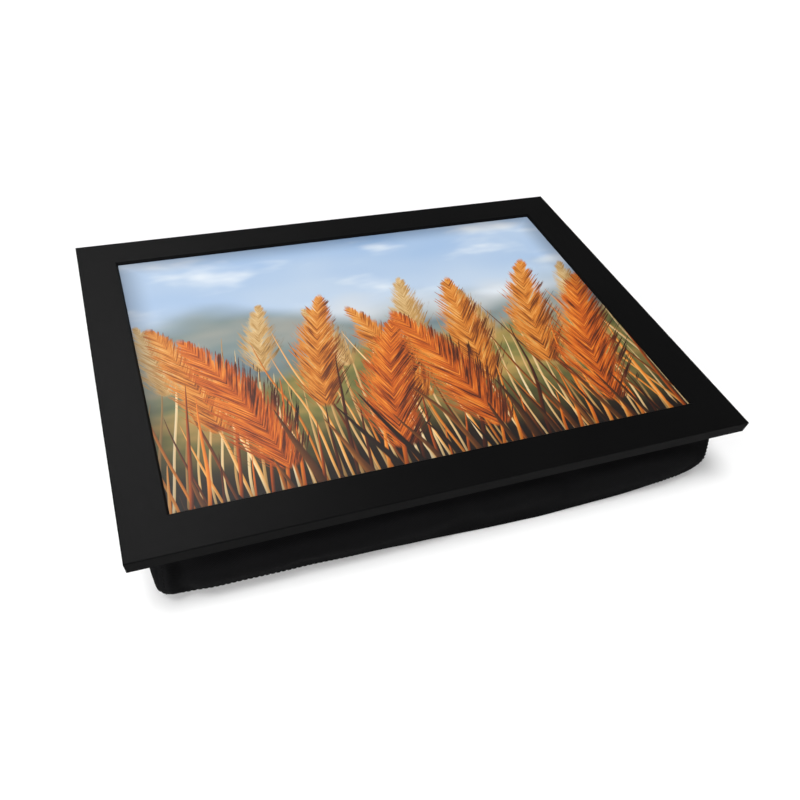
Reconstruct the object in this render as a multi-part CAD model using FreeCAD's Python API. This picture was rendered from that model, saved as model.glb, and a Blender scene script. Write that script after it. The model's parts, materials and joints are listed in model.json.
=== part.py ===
import FreeCAD, Part
import math
import os

# Lap tray with a bead cushion, in millimetres.
# The origin is on the floor under the tray's centre, +X runs along the long front edge,
# +Y to the back and +Z up.

# Frame of four mitred rails
tray_width = 410.0
tray_depth = 310.0
rail_face_width = 28.4
lip_thickness = 2.2
rebate_width = 8.0
back_recess = 2.2
side_lean = 0.9
edge_round = 0.8
sight_bevel = 1.4

# Printed board in the rebate
board_thickness = 4.0
print_thickness = 0.6
board_clearance = 0.5

# V-nails that hold each mitre together from below
nail_leg = 6.0
nail_sheet = 0.6
nail_height = 6.0
nail_place_shares = (0.32, 0.64)

# Flat steel points that hold the board up in the rebate
point_length = 14.0
point_grip = 6.0
point_width = 8.0
point_tip = 3.0
point_sheet = 0.6
points_on_long_rail = 4
points_on_short_rail = 3

# Hook-and-loop patches between the board and the cushion
patch_length = 90.0
patch_width = 25.0
patch_corner = 3.0
patch_place_shares = (0.29, 0.33)
hook_share = 0.5

# Cushion: the insets are from the tray's outer edge to the cushion's widest line
cushion_thickness = 55.0
cushion_gap = 0.3
side_inset = 12.0
front_inset = 8.0
foot_inset = 13.0
foot_height = 20.0
shoulder_inset = 4.0
shoulder_height = 12.0
corner_radius = 10.0
corner_spread_share = 2.0
side_draw = 1.0
round_steps = 5

# Layers of the cushion
cover_wall = 1.0
layer_gap = 0.3
bag_wall = 0.6
bead_layer = 1.5

# Zip along the middle of the cushion's back
zip_length = 240.0
zip_tape_width = 6.0
zip_coil_width = 4.0
zip_coil_proud = 0.6
zip_stop_length = 4.0

# Slider and pull tab of the zip
slider_length = 11.0
slider_height = 9.0
slider_plate = 1.2
slider_clearance = 0.3
slider_end_gap = 1.0
slider_tail_share = 0.6
ear_thickness = 1.0
pin_radius = 0.6
pin_clearance = 0.05
knuckle_radius = 1.4
knuckle_clearance = 0.3
pull_length = 24.0
pull_width = 5.0
pull_thickness = 1.0
pull_hole_radius = 1.2

# How far a cutting shape runs past what it cuts
overrun = 5.0

# Heights that follow from the stack of pieces, from the floor up
rail_height = lip_thickness + print_thickness + board_thickness + back_recess
patch_stack = back_recess + cushion_gap
hook_thickness = patch_stack * hook_share
loop_thickness = patch_stack - hook_thickness
hook_bottom = cushion_thickness + loop_thickness
board_bottom = hook_bottom + hook_thickness
board_top = board_bottom + board_thickness
print_top = board_top + print_thickness
tray_top = print_top + lip_thickness
rail_bottom = tray_top - rail_height

# Sizes in plan that follow from the frame
rebate_wall = rail_face_width - rebate_width
board_width = tray_width - 2 * (rebate_wall + board_clearance)
board_depth = tray_depth - 2 * (rebate_wall + board_clearance)
cushion_half_width = tray_width / 2 - side_inset
cushion_half_depth = tray_depth / 2 - front_inset

# Places on the zip
zip_band_bottom = foot_height
zip_band_top = cushion_thickness - shoulder_height
zip_z = (zip_band_bottom + zip_band_top) / 2
zip_face = cushion_half_depth
slider_x = zip_length / 2 - zip_stop_length - slider_end_gap - slider_length / 2
slider_foot = zip_face + zip_coil_proud + slider_clearance
slider_top = slider_foot + slider_plate
pin_y = slider_top + knuckle_clearance + knuckle_radius

# Sides of the frame, in order round the tray, and the corners that the patches lie near
frame_sides = ("front", "right", "back", "left")
long_sides = ("front", "back")
patch_corners = ("front_left", "front_right", "back_left", "back_right")


def point(x, y, z):
    return FreeCAD.Vector(x, y, z)


def block(low, high):
    """A box between two corners."""
    size = [b - a for a, b in zip(low, high)]
    return Part.makeBox(*size, point(*low))


def prism(corners, direction):
    """A solid made by drawing a closed outline of straight edges along a direction."""
    outline = Part.makePolygon(corners + corners[:1])
    return Part.Face(outline).extrude(direction)


def side_length(side):
    return tray_width if side in long_sides else tray_depth


def to_side(shape, side):
    """Move a shape, made with its outer edge along X at y = 0, to a side of the frame."""
    out = tray_depth / 2 if side in long_sides else tray_width / 2
    quarter_turns = frame_sides.index(side)
    moved = shape.copy()
    moved.translate(point(0, -out, 0))
    moved.rotate(point(0, 0, 0), point(0, 0, 1), 90 * quarter_turns)
    return moved


# Tray


def rail_section(x):
    """The moulding's section across its length, with y from the outer edge inwards."""
    diagonal = edge_round * math.sqrt(0.5)
    round_low = point(x, 0, tray_top - edge_round)
    round_mid = point(x, edge_round - diagonal, tray_top - edge_round + diagonal)
    round_high = point(x, edge_round, tray_top)
    rest = [
        round_high,
        point(x, rail_face_width - sight_bevel, tray_top),
        point(x, rail_face_width, tray_top - sight_bevel),
        point(x, rail_face_width, print_top),
        point(x, rebate_wall, print_top),
        point(x, rebate_wall, rail_bottom),
        point(x, side_lean, rail_bottom),
        round_low,
    ]
    edges = [Part.Arc(round_low, round_mid, round_high).toShape()]
    for start, end in zip(rest, rest[1:]):
        edges.append(Part.LineSegment(start, end).toShape())
    return Part.Face(Part.Wire(edges))


def rail(side, fasteners):
    """A mitred rail with its rebate, slotted for the fasteners driven into it."""
    length = side_length(side)
    bar = rail_section(-length / 2).extrude(point(length, 0, 0))
    mitred_plan = [
        point(-length / 2, 0, rail_bottom),
        point(length / 2, 0, rail_bottom),
        point(length / 2 - rail_face_width, rail_face_width, rail_bottom),
        point(-length / 2 + rail_face_width, rail_face_width, rail_bottom),
    ]
    mitred = bar.common(prism(mitred_plan, point(0, 0, rail_height)))
    return to_side(mitred, side).cut(fasteners)


def corner_v_nails():
    """Angled strips across each mitre, pushed in from below until they are flush."""
    nails = []
    for side in frame_sides:
        for share in nail_place_shares:
            depth = rebate_wall * share
            apex_x = side_length(side) / 2 - depth
            outline = [
                point(apex_x, depth, rail_bottom),
                point(apex_x, depth + nail_leg, rail_bottom),
                point(apex_x - nail_sheet, depth + nail_leg, rail_bottom),
                point(apex_x - nail_sheet, depth + nail_sheet, rail_bottom),
                point(apex_x - nail_leg, depth + nail_sheet, rail_bottom),
                point(apex_x - nail_leg, depth, rail_bottom),
            ]
            nails.append(to_side(prism(outline, point(0, 0, nail_height)), side))
    return Part.makeCompound(nails)


def retaining_points():
    """Flat points in the rebate wall, each with its blunt end under the board's edge."""
    points = []
    for side in frame_sides:
        count = points_on_long_rail if side in long_sides else points_on_short_rail
        spacing = (side_length(side) - 2 * rail_face_width) / count
        for index in range(count):
            x = spacing * (index + 0.5 - count / 2)
            tip = rebate_wall - point_grip
            shoulder = tip + point_tip
            z = board_bottom - point_sheet
            outline = [
                point(x, tip, z),
                point(x + point_width / 2, shoulder, z),
                point(x + point_width / 2, tip + point_length, z),
                point(x - point_width / 2, tip + point_length, z),
                point(x - point_width / 2, shoulder, z),
            ]
            points.append(to_side(prism(outline, point(0, 0, point_sheet)), side))
    return Part.makeCompound(points)


def panel(bottom, top):
    """A flat sheet that fills the rebate, between two heights."""
    low = (-board_width / 2, -board_depth / 2, bottom)
    high = (board_width / 2, board_depth / 2, top)
    return block(low, high)


def patch(corner, bottom, thickness):
    """A strip of hook or loop tape with rounded corners, near one corner of the board."""
    sign_x = 1 if corner.endswith("right") else -1
    sign_y = 1 if corner.startswith("back") else -1
    x = sign_x * board_width * patch_place_shares[0]
    y = sign_y * board_depth * patch_place_shares[1]
    low = (x - patch_length / 2, y - patch_width / 2, bottom)
    high = (x + patch_length / 2, y + patch_width / 2, bottom + thickness)
    strip = block(low, high)
    upright = [edge for edge in strip.Edges if edge.BoundBox.ZLength > thickness / 2]
    return strip.makeFillet(patch_corner, upright)


# Cushion


def cushion_levels():
    """Height and inset of each level, from the flat foot up to the flat top."""
    levels = []
    for step in range(round_steps + 1):
        angle = math.radians(90) * (1 - step / round_steps)
        levels.append((foot_height * (1 - math.sin(angle)), foot_inset * (1 - math.cos(angle))))
    for step in range(round_steps + 1):
        angle = math.radians(90) * step / round_steps
        height = zip_band_top + shoulder_height * math.sin(angle)
        levels.append((height, shoulder_inset * (1 - math.cos(angle))))
    return levels


def cushion_outline(height, inset, shrink):
    """One level: sides drawn in between rounded corners, and a straight back for the zip."""
    a = cushion_half_width - inset - shrink
    b = cushion_half_depth - inset - shrink
    r = corner_radius + inset * corner_spread_share - shrink
    z = shrink + height * (cushion_thickness - 2 * shrink) / cushion_thickness
    bend = r * (1 - math.sqrt(0.5))
    front_left, front_right = point(-a + r, -b, z), point(a - r, -b, z)
    right_front, right_back = point(a, -b + r, z), point(a, b - r, z)
    back_right, back_left = point(a - r, b, z), point(-a + r, b, z)
    left_back, left_front = point(-a, b - r, z), point(-a, -b + r, z)
    curves = [
        Part.Arc(front_left, point(0, -b + side_draw, z), front_right),
        Part.Arc(front_right, point(a - bend, -b + bend, z), right_front),
        Part.Arc(right_front, point(a - side_draw, 0, z), right_back),
        Part.Arc(right_back, point(a - bend, b - bend, z), back_right),
        Part.LineSegment(back_right, back_left),
        Part.Arc(back_left, point(-a + bend, b - bend, z), left_back),
        Part.Arc(left_back, point(-a + side_draw, 0, z), left_front),
        Part.Arc(left_front, point(-a + bend, -b + bend, z), front_left),
    ]
    return Part.Wire([curve.toShape() for curve in curves])


def cushion_form(shrink):
    """The whole cushion's form, drawn in on every side by shrink."""
    outlines = [cushion_outline(height, inset, shrink) for height, inset in cushion_levels()]
    return Part.makeLoft(outlines, True, True)


def cushion_skin(outer_shrink, wall):
    """A closed layer of the cushion."""
    return cushion_form(outer_shrink).cut(cushion_form(outer_shrink + wall))


def top_sheet():
    """The slab that holds the cushion's flat top panel."""
    low = (-tray_width / 2, -tray_depth / 2, cushion_thickness - cover_wall)
    high = (tray_width / 2, tray_depth / 2, cushion_thickness + overrun)
    return block(low, high)


def cushion_cover():
    """Sides and base of the cover, open where the zip is sewn in."""
    slot_half = zip_tape_width + zip_coil_width / 2
    low = (-zip_length / 2, zip_face - cover_wall - overrun, zip_z - slot_half)
    high = (zip_length / 2, zip_face + overrun, zip_z + slot_half)
    return cushion_skin(0, cover_wall).cut(top_sheet()).cut(block(low, high))


def cushion_top_panel():
    return cushion_form(0).common(top_sheet())


# Zip


def zip_tape(direction):
    """One woven tape beside the coil: above it (1) or below it (-1)."""
    inner = zip_z + direction * zip_coil_width / 2
    outer = inner + direction * zip_tape_width
    low = (-zip_length / 2, zip_face - cover_wall, min(inner, outer))
    high = (zip_length / 2, zip_face, max(inner, outer))
    return block(low, high)


def zip_bar(start, end):
    """A stretch of the closed zip, between two places along it."""
    low = (start, zip_face - cover_wall, zip_z - zip_coil_width / 2)
    high = (end, zip_face + zip_coil_proud, zip_z + zip_coil_width / 2)
    return block(low, high)


def zip_coil():
    half = zip_length / 2 - zip_stop_length
    return zip_bar(-half, half)


def zip_end_stops():
    half = zip_length / 2
    left_stop = zip_bar(-half, -half + zip_stop_length)
    right_stop = zip_bar(half - zip_stop_length, half)
    return Part.makeCompound([left_stop, right_stop])


def zip_slider():
    """The slider's outer plate, with two ears and the pin that carries the pull tab."""
    tail = slider_height * slider_tail_share / 2
    nose = slider_height / 2
    plate_outline = [
        point(slider_x - slider_length / 2, slider_foot, zip_z - tail),
        point(slider_x, slider_foot, zip_z - nose),
        point(slider_x + slider_length / 2, slider_foot, zip_z - nose),
        point(slider_x + slider_length / 2, slider_foot, zip_z + nose),
        point(slider_x, slider_foot, zip_z + nose),
        point(slider_x - slider_length / 2, slider_foot, zip_z + tail),
    ]
    slider = prism(plate_outline, point(0, slider_plate, 0))
    ear_inside = pull_width / 2 + knuckle_clearance
    for ear_bottom in (zip_z + ear_inside, zip_z - ear_inside - ear_thickness):
        low = (slider_x - knuckle_radius, slider_top, ear_bottom)
        high = (slider_x + knuckle_radius, pin_y, ear_bottom + ear_thickness)
        centre = point(slider_x, pin_y, ear_bottom)
        rounded = Part.makeCylinder(knuckle_radius, ear_thickness, centre)
        slider = slider.fuse([block(low, high), rounded])
    pin_start = point(slider_x, pin_y, zip_z - ear_inside)
    pin = Part.makeCylinder(pin_radius, 2 * ear_inside, pin_start)
    return slider.fuse(pin).removeSplitter()


def zip_pull():
    """The flat tab that hangs on the slider's pin, lying along the zip."""
    tab_low = (slider_x - pull_length, pin_y - pull_thickness / 2, zip_z - pull_width / 2)
    tab_high = (slider_x, pin_y + pull_thickness / 2, zip_z + pull_width / 2)
    tab = block(tab_low, tab_high)
    end_edges = [
        edge
        for edge in tab.Edges
        if edge.BoundBox.YLength > pull_thickness / 2
        and edge.BoundBox.XMax < slider_x - pull_length / 2
    ]
    tab = tab.makeFillet(pull_width / 3, end_edges)
    knuckle_start = point(slider_x, pin_y, zip_z - pull_width / 2)
    knuckle = Part.makeCylinder(knuckle_radius, pull_width, knuckle_start)
    bore = Part.makeCylinder(pin_radius + pin_clearance, pull_width, knuckle_start)
    hole_start = point(slider_x - pull_length + pull_width / 2, pin_y - overrun, zip_z)
    hole = Part.makeCylinder(pull_hole_radius, 2 * overrun, hole_start, point(0, 1, 0))
    return tab.fuse(knuckle).cut(bore).cut(hole).removeSplitter()


def all_pieces():
    """Every sub-part by its name."""
    nails = corner_v_nails()
    points = retaining_points()
    fasteners = Part.makeCompound([nails, points])
    pieces = {side + "_rail": rail(side, fasteners) for side in frame_sides}
    pieces["corner_v_nails"] = nails
    pieces["retaining_points"] = points
    pieces["tray_board"] = panel(board_bottom, board_top)
    pieces["print_sheet"] = panel(board_top, print_top)
    for corner in patch_corners:
        pieces["hook_patch_" + corner] = patch(corner, hook_bottom, hook_thickness)
        pieces["loop_patch_" + corner] = patch(corner, cushion_thickness, loop_thickness)
    pieces["cushion_cover"] = cushion_cover()
    pieces["cushion_top_panel"] = cushion_top_panel()
    bag_shrink = cover_wall + layer_gap
    pieces["bead_bag"] = cushion_skin(bag_shrink, bag_wall)
    pieces["bead_filling"] = cushion_skin(bag_shrink + bag_wall + layer_gap, bead_layer)
    pieces["zip_tape_upper"] = zip_tape(1)
    pieces["zip_tape_lower"] = zip_tape(-1)
    pieces["zip_coil"] = zip_coil()
    pieces["zip_end_stops"] = zip_end_stops()
    pieces["zip_slider"] = zip_slider()
    pieces["zip_pull"] = zip_pull()
    return pieces


os.makedirs("parts", exist_ok=True)
for name, shape in all_pieces().items():
    shape.exportStep("parts/" + name + ".step")
    print(name, len(shape.Solids), round(shape.Volume), shape.isValid())
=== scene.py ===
# %% [markdown]
# # A lap tray on a bead cushion
# A black mitred frame holds a printed panel, and the whole tray sits on a cushion full of light
# beads. The stiff pieces (rails, board, zip slider) are CAD solids that are already right, so here
# they only get finishes. The soft and the repeated pieces are made in this file: the cushion, its
# inner bag, seams and stitches, the hook and loop tapes and the zip's teeth.

import json
import math
from functools import partialmethod

import bpy
import numpy as np
from mathutils import Matrix, Vector
from mathutils.bvhtree import BVHTree

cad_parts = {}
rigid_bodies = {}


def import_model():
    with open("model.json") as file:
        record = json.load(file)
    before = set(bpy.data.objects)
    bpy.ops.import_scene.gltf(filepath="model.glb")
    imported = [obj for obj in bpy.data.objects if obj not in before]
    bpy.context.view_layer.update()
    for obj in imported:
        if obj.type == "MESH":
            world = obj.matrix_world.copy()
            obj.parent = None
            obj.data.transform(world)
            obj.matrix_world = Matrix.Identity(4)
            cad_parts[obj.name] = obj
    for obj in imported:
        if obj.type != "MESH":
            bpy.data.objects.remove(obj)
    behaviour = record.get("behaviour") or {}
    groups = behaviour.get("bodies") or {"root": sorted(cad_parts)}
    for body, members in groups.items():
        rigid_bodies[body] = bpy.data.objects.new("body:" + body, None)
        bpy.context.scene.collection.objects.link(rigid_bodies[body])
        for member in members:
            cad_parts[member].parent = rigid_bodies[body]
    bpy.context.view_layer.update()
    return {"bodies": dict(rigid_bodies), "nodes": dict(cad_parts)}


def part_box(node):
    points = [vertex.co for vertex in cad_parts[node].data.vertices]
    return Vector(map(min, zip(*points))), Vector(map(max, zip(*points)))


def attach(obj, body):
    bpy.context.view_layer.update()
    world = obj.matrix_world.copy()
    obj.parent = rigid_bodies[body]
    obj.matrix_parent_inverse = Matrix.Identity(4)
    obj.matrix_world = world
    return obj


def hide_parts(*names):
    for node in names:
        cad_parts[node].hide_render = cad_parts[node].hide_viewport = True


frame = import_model()
nodes = frame["nodes"]
mm = 0.001
scene = bpy.context.scene
scene.view_settings.view_transform = "Standard"
print("solids:", len(nodes), "on bodies:", ", ".join(frame["bodies"]))

# %% [markdown]
# ## The camera
# The picture was taken from the front left, looking down at about 43 degrees with a normal lens,
# and the camera was tipped a little to one side. A camera can be placed with a Track To
# constraint, but a constraint can't hold that tip, so its three axes are worked out from the
# three angles and given to the camera as a matrix.

# %% Camera
front_low, front_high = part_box("front_rail")
tray_corner = Vector((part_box("left_rail")[0].x, front_low.y, front_high.z))
camera_from_corner = Vector((18.1, -281.3, 369.9)) * mm
camera_yaw = math.radians(24.83)
camera_pitch = math.radians(42.74)
camera_roll = math.radians(6.86)
focal_pixels = 823
picture_pixels = 800

looking = Vector((math.sin(camera_yaw) * math.cos(camera_pitch),
                  math.cos(camera_yaw) * math.cos(camera_pitch),
                  -math.sin(camera_pitch)))
level_right = Vector((math.cos(camera_yaw), -math.sin(camera_yaw), 0))
level_up = level_right.cross(looking)
right = level_right * math.cos(camera_roll) + level_up * math.sin(camera_roll)
up = right.cross(looking)

camera = bpy.data.objects.new("camera", bpy.data.cameras.new("camera"))
camera.data.sensor_width = 36
camera.data.lens = camera.data.sensor_width * focal_pixels / picture_pixels
camera.data.clip_start = 0.02
turn = Matrix((right, up, -looking)).transposed().to_4x4()
camera.matrix_world = Matrix.Translation(tray_corner + camera_from_corner) @ turn
scene.collection.objects.link(camera)
scene.camera = camera
print("camera at", [round(x, 3) for x in camera.location], "lens", round(camera.data.lens, 2), "mm")

# %% [markdown]
# ## A bench for nodes
# Every finish below is a network of shader nodes. Adding each node and link by hand takes four
# lines, so this small helper adds a node, sets its inputs from plain values or from wires, and
# gives back the wire that comes out. Arithmetic on wires adds Math nodes, so a formula in a
# finish reads like any other formula. The same helper works in Geometry Nodes trees.

# %% Bench
class Wire:
    """What comes out of a node. Plain arithmetic on it adds Math nodes to its tree."""

    def __init__(self, socket):
        self.socket = socket

    def reckon(self, operation, *others):
        return Bench(self.socket.id_data).math(operation, self, *others)

    __add__ = __radd__ = partialmethod(reckon, "ADD")
    __mul__ = __rmul__ = partialmethod(reckon, "MULTIPLY")
    __sub__ = partialmethod(reckon, "SUBTRACT")
    __truediv__ = partialmethod(reckon, "DIVIDE")
    __pow__ = partialmethod(reckon, "POWER")
    __abs__ = partialmethod(reckon, "ABSOLUTE")

    def __rsub__(self, other):
        return Bench(self.socket.id_data).math("SUBTRACT", other, self)


class Bench:
    def __init__(self, tree):
        self.tree = tree

    def feed(self, socket, value):
        if isinstance(value, Wire):
            self.tree.links.new(value.socket, socket)
        else:
            socket.default_value = value

    def fill(self, sockets, **values):
        for name, value in values.items():
            self.feed(sockets[name.replace("_", " ")], value)

    def add(self, kind, settings=None, **inputs):
        node = self.tree.nodes.new(kind)
        for name, value in (settings or {}).items():
            setattr(node, name, value)
        self.fill(node.inputs, **inputs)
        return node

    def out(self, kind, settings=None, **inputs):
        return Wire(self.add(kind, settings, **inputs).outputs[0])

    def outs(self, kind, settings=None, **inputs):
        return {socket.name: Wire(socket) for socket in self.add(kind, settings, **inputs).outputs}

    def operate(self, kind, operation, *values):
        node = self.add(kind, {"operation": operation})
        for socket, value in zip(node.inputs, values):
            self.feed(socket, value)
        return Wire(node.outputs[0])

    math = partialmethod(operate, "ShaderNodeMath")
    larger = partialmethod(operate, "ShaderNodeMath", "MAXIMUM")
    smaller = partialmethod(operate, "ShaderNodeMath", "MINIMUM")
    vector = partialmethod(operate, "ShaderNodeVectorMath")

    def split(self, vector):
        return [Wire(socket) for socket in self.add("ShaderNodeSeparateXYZ", Vector=vector).outputs]

    def join(self, x, y, z=0.0):
        return self.out("ShaderNodeCombineXYZ", X=x, Y=y, Z=z)

    def spread(self, value, low, high, to_low, to_high, kind="LINEAR"):
        return self.out("ShaderNodeMapRange", {"interpolation_type": kind}, Value=value, From_Min=low,
                        From_Max=high, To_Min=to_low, To_Max=to_high)

    def step(self, value, low, high):
        """A soft step from 0 to 1 between two values; low may be the larger one."""
        return self.spread(value, low, high, 0.0, 1.0, "SMOOTHSTEP")

    def swing(self, share, reach):
        """A share from 0 to 1, made to swing round 0."""
        return (share - 0.5) * reach

    def place(self):
        return self.outs("ShaderNodeTexCoord")["Object"]

    def noise(self, place, scale, detail=2.0, roughness=0.5):
        return self.out("ShaderNodeTexNoise", Vector=place, Scale=scale, Detail=detail, Roughness=roughness)

    def bump(self, height, depth):
        return self.out("ShaderNodeBump", Strength=1.0, Distance=depth, Height=height)

    def blend(self, share, first, second, mode="MIX"):
        node = self.add("ShaderNodeMix", {"data_type": "RGBA", "blend_type": mode})
        for number, value in ((0, share), (6, first), (7, second)):
            self.feed(node.inputs[number], value)
        return Wire(node.outputs[2])

    def ramp(self, value, stops):
        node = self.add("ShaderNodeValToRGB", Fac=value)
        marks = node.color_ramp.elements
        marks[0].position, marks[0].color = stops[0]
        marks[1].position, marks[1].color = stops[-1]
        for place, colour in stops[1:-1]:
            marks.new(place).color = colour
        return Wire(node.outputs[0])

    def group(self, tree, **inputs):
        return self.outs("ShaderNodeGroup", {"node_tree": tree}, **inputs)

    def gather(self, shapes):
        node = self.add("GeometryNodeJoinGeometry")
        for shape in shapes:
            self.feed(node.inputs[0], shape)
        return Wire(node.outputs[0])


print("bench ready")

# %% Trees, materials and colours
socket_kinds = {"values": "NodeSocketFloat", "vectors": "NodeSocketVector", "shapes": "NodeSocketGeometry",
                "materials": "NodeSocketMaterial"}


def new_tree(name, kind, results, **inputs):
    """A tree, its bench, the wires it is given and its result sockets; inputs are listed by sort."""
    tree = bpy.data.node_groups.new(name, kind)
    result_sort = "values" if kind == "ShaderNodeTree" else "shapes"
    for in_out, lists in (("INPUT", inputs), ("OUTPUT", {result_sort: results})):
        for sort, labels in lists.items():
            for label in labels:
                tree.interface.new_socket(label, in_out=in_out, socket_type=socket_kinds[sort])
    bench = Bench(tree)
    return tree, bench, bench.outs("NodeGroupInput"), bench.add("NodeGroupOutput").inputs


def new_material(name, roughness=0.5, specular=0.5, metallic=0.0):
    material = bpy.data.materials.new(name)
    material.use_nodes = True
    bench = Bench(material.node_tree)
    shader = material.node_tree.nodes["Principled BSDF"].inputs
    bench.fill(shader, Roughness=roughness, Specular_IOR_Level=specular, Metallic=metallic)
    return material, bench, shader


def shade(*screen):
    """A colour from its red, green and blue screen values, 0 to 255."""
    linear = [((c / 255 + 0.055) / 1.055) ** 2.4 if c > 10 else c / 255 / 12.92 for c in screen]
    return (*linear, 1.0)


def dress(material, *names):
    for name in names:
        nodes[name].data.materials.clear()
        nodes[name].data.materials.append(material)


print("helpers for trees, materials and colours ready")

# %% [markdown]
# ## The studio
# The tray stands on a white sweep. The floor is a plain pale diffuse surface, and a little glow
# that only the camera and reflections see lifts it to the white of the picture, while the shadow
# stays. The surround is white for the camera, reflections show white walls round the room, and
# the object itself gets only a dim light from it.

# %% Floor and background
floor_size = 8.0
floor_drop = 0.2 * mm
floor_colour = (0.74, 0.74, 0.74, 1)
floor_glow = 0.26
mirrored_glow = 0.1
room_light = 0.11
wall_full, wall_end = math.sin(math.radians(3)), math.sin(math.radians(11))


def make_mesh(name, points, faces, material):
    mesh = bpy.data.meshes.new(name)
    mesh.from_pydata(np.asarray(points).tolist(), [], faces)
    mesh.materials.append(material)
    mesh.shade_smooth()
    piece = bpy.data.objects.new(name, mesh)
    scene.collection.objects.link(piece)
    return piece


sweep = bpy.data.materials.new("pale_sweep")
sweep.use_nodes = True
bench = Bench(sweep.node_tree)
sweep.node_tree.nodes.remove(sweep.node_tree.nodes["Principled BSDF"])
rays = bench.outs("ShaderNodeLightPath")
mirrored = bench.larger(rays["Is Glossy Ray"], rays["Is Transmission Ray"])
seen_glow = bench.larger(rays["Is Camera Ray"] * floor_glow, mirrored * mirrored_glow)
both = bench.add("ShaderNodeAddShader")
bench.feed(both.inputs[0], bench.out("ShaderNodeBsdfDiffuse", Color=floor_colour))
bench.feed(both.inputs[1], bench.out("ShaderNodeEmission", Strength=seen_glow))
bench.fill(sweep.node_tree.nodes["Material Output"].inputs, Surface=Wire(both.outputs[0]))

half = floor_size / 2
floor_corners = [(x, y, -floor_drop) for x, y in ((-half, -half), (half, -half), (half, half), (-half, half))]
make_mesh("floor", floor_corners, [(0, 1, 2, 3)], sweep)

world = bpy.data.worlds.new("studio")
scene.world = world
world.use_nodes = True
bench = Bench(world.node_tree)
rays = bench.outs("ShaderNodeLightPath")
up_in_room = bench.split(bench.outs("ShaderNodeTexCoord")["Generated"])[2]
mirrored_wall = rays["Is Glossy Ray"] * bench.step(up_in_room, wall_end, wall_full)
see_white = bench.larger(bench.larger(rays["Is Camera Ray"], rays["Is Transmission Ray"]), mirrored_wall)
bench.fill(world.node_tree.nodes["Background"].inputs, Color=(1, 1, 1, 1),
           Strength=bench.larger(see_white, room_light))
print("floor of", floor_size, "m and a white surround")

# %% [markdown]
# A soft box hangs high over the tray's left front and a wide low light stands at its left, so its
# shadow hugs the cushion. Sun lamps with a wide disc work as soft boxes and light the floor
# evenly, wherever the view is taken from. A slim strip of light behind draws the satin sheen along
# the left side of the frame. It works on gloss alone, because its own shadow would blur the tight
# one. A small white card near the left front corner lifts the cloth and the floor there, and works
# on dull surfaces alone, so it leaves no spot in the gloss.

# %% Lamps
def hang_lamp(name, kind, towards, strength):
    lamp = bpy.data.lights.new(name, kind)
    lamp.energy = strength
    holder = bpy.data.objects.new(name, lamp)
    holder.rotation_euler = towards.to_track_quat("Z", "Y").to_euler()
    scene.collection.objects.link(holder)
    return holder


def wide_sun(name, turned, height, strength, spread, gloss_only=False):
    """A soft lamp: turned is degrees to the right of straight behind, height above the floor."""
    a, e = math.radians(turned), math.radians(height)
    towards = Vector((math.sin(a) * math.cos(e), math.cos(a) * math.cos(e), math.sin(e)))
    holder = hang_lamp(name, "SUN", towards, strength)
    holder.data.angle = math.radians(spread)
    holder.visible_diffuse = not gloss_only


def near_card(name, from_corner, aim_from_corner, size, strength):
    """A small soft lamp, placed from the tray's left front corner, that shows in no reflection."""
    holder = hang_lamp(name, "AREA", Vector(from_corner) - Vector(aim_from_corner), strength)
    holder.data.size = size
    holder.location = tray_corner + Vector(from_corner)
    holder.visible_camera = False
    holder.visible_glossy = False


wide_sun("soft_box", turned=-130, height=74, strength=2.7, spread=24)
wide_sun("side_light", turned=-108, height=30, strength=1.0, spread=60)
wide_sun("strip_middle", turned=-3, height=46, strength=0.56, spread=16, gloss_only=True)
wide_sun("strip_top", turned=-3, height=60, strength=0.40, spread=16, gloss_only=True)
near_card("left_card", (-0.215, -0.175, 0.056), (0.02, 0.0, -0.04), size=0.15, strength=0.35)
print("lamps:", ", ".join(lamp.name for lamp in bpy.data.lights))

# %% [markdown]
# ## Black foil on the frame
# The rails are fibreboard mouldings wrapped in a satin black foil with a faint pressed grain that
# runs along each rail. A noise that is stretched along one axis gives such a grain. Two rails run
# along X and two along Y, so the grain is a node group with a stretch for each axis, placed in
# one material for each direction. Hands and laps rub the upright sides, so the foil is more matt
# there than on top. The same group serves the raw fibreboard, the steel and the zip later.

# %% Grain group
pores_finer, pore_depth = 4.0, 0.35
cloud_scale = 14.0

grain, bench, given, result = new_tree("pressed grain", "ShaderNodeTree", ["Height", "Cloud"],
                                       vectors=["Place", "Stretch"], values=["Fineness"])
stretched = bench.vector("MULTIPLY", given["Place"], given["Stretch"])
strands = bench.noise(stretched, given["Fineness"], 4.0, 0.6)
pores = bench.noise(stretched, given["Fineness"] * pores_finer, 2.0, 0.5)
bench.fill(result, Height=strands + pores * pore_depth,
           Cloud=bench.noise(given["Place"], cloud_scale, 3.0, 0.6))
print("grain group:", len(grain.nodes), "nodes")

# %% Foil on the rails
rubbed_matt = 0.27
along_grain = 0.06
foil_grain_depth = 0.03 * mm
foil_blacks = [(0.3, (0.0032, 0.0032, 0.0033, 1)), (0.7, (0.0042, 0.0042, 0.0043, 1))]


def make_foil(name, stretch):
    material, bench, shader = new_material(name, specular=0.045)
    coordinates = bench.outs("ShaderNodeTexCoord")
    marks = bench.group(grain, Place=coordinates["Object"], Stretch=stretch, Fineness=900.0)
    satin = bench.spread(marks["Height"], 0.4, 1.0, 0.34, 0.42)
    upright = bench.step(abs(bench.split(coordinates["Normal"])[2]), 0.6, 0.2)
    bench.fill(shader, Base_Color=bench.ramp(marks["Cloud"], foil_blacks),
               Roughness=satin + upright * rubbed_matt, Normal=bench.bump(marks["Height"], foil_grain_depth))
    return material


dress(make_foil("black_foil_across", (along_grain, 1.0, 1.0)), "front_rail", "back_rail")
dress(make_foil("black_foil_deep", (1.0, along_grain, 1.0)), "left_rail", "right_rail")
print("foil on four rails")

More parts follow.
